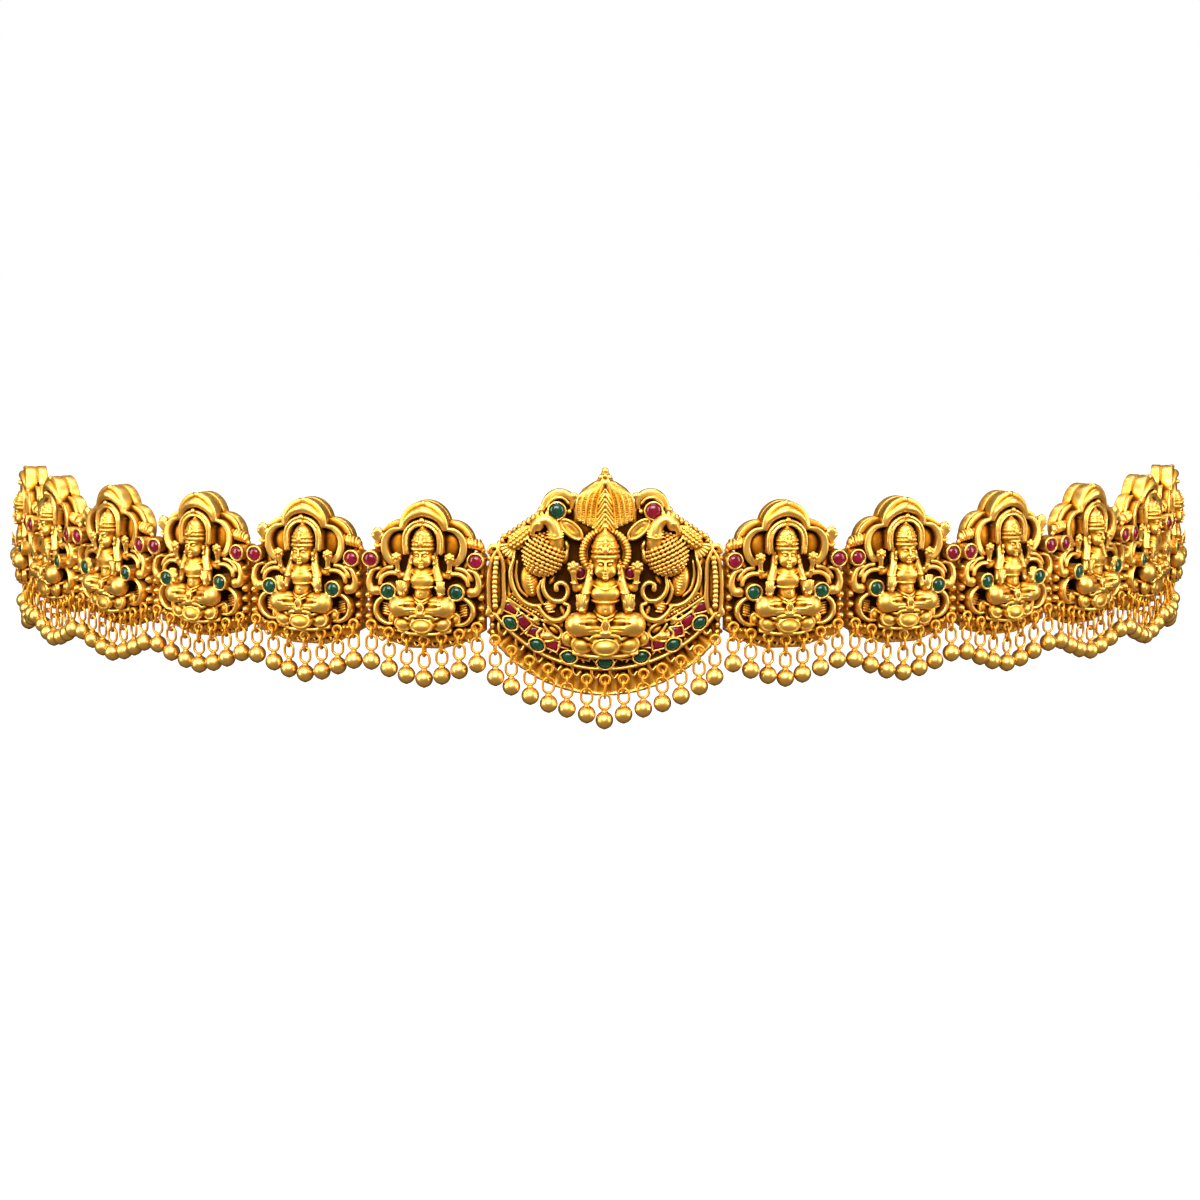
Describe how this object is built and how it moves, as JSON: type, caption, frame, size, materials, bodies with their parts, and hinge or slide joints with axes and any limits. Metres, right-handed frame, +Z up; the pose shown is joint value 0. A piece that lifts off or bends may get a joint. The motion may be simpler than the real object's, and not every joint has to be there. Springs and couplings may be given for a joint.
{
  "type": "hip chain",
  "caption": "Temple-style hip chain: a large figure centrepiece, hinged figure panels with ruby and emerald stones, hanging bead drops, and a link chain with a hook behind.",
  "frame": {"origin": "middle of the waist opening, level with the middle of the side panels", "axes": "+X to the viewer's right along the belt, +Y from the front of the wearer to the back, +Z up; the centrepiece faces -Y"},
  "size_m": [0.3078, 0.2688, 0.0698],
  "materials": {
    "gold": "antique matte gold with dark recesses",
    "ruby": "polished ruby cabochon",
    "emerald": "polished emerald cabochon"
  },
  "bodies": {
    "root": {"centre_panel": "gold", "panel_l1": "gold", "panel_l2": "gold", "panel_l3": "gold", "panel_l4": "gold", "panel_l5": "gold", "panel_l6": "gold", "panel_r1": "gold", "panel_r2": "gold", "panel_r3": "gold", "panel_r4": "gold", "panel_r5": "gold", "panel_r6": "gold", "drops_centre": "gold", "drops_l1": "gold", "drops_l2": "gold", "drops_l3": "gold", "drops_l4": "gold", "drops_l5": "gold", "drops_l6": "gold", "drops_r1": "gold", "drops_r2": "gold", "drops_r3": "gold", "drops_r4": "gold", "drops_r5": "gold", "drops_r6": "gold", "rubies_left": "ruby", "rubies_right": "ruby", "emeralds_left": "emerald", "emeralds_right": "emerald", "centre_ruby": "ruby", "centre_emerald": "emerald", "chain_left": "gold", "chain_right": "gold", "hook": "gold"}
  },
  "joints": []
}
